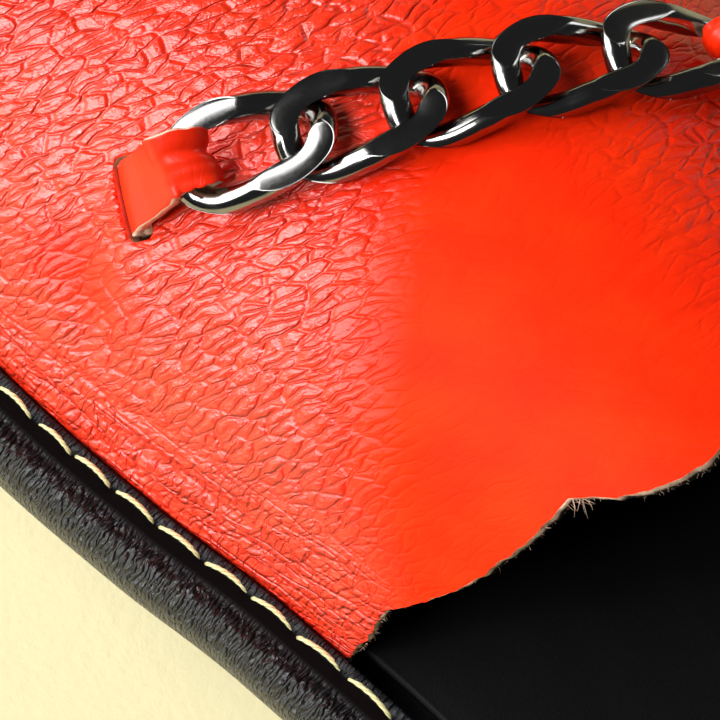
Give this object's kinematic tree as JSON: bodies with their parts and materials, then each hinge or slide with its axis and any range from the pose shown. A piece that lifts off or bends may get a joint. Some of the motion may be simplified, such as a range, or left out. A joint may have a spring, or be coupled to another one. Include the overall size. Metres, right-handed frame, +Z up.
{
  "type": "house slipper",
  "caption": "Backless house slipper, right foot: scalloped leather vamp with a chain held by two leather tabs, stitched rand, footbed and low wedge sole.",
  "frame": {"origin": "on the floor, under the middle of the slipper's box", "axes": "+X from the heel to the toe, +Y to the inner (medial) side, +Z up from the floor"},
  "size_m": [0.2646, 0.1056, 0.0687],
  "materials": {
    "red_leather": "tumbled full-grain leather, semi-gloss, raw cut edges",
    "black_leather": "pebbled black leather with cream thread stitches",
    "black_suede": "matt suede footbed",
    "wedge_foam": "matt moulded foam",
    "sole_rubber": "matt moulded rubber",
    "gunmetal": "polished black nickel plating"
  },
  "bodies": {
    "root": {"outsole": "sole_rubber", "midsole": "wedge_foam", "rand": "black_leather", "insole": "black_suede", "upper": "red_leather", "tab_medial": "red_leather", "tab_lateral": "red_leather", "chain_link_01": "gunmetal", "chain_link_02": "gunmetal", "chain_link_03": "gunmetal", "chain_link_04": "gunmetal", "chain_link_05": "gunmetal"}
  },
  "joints": []
}
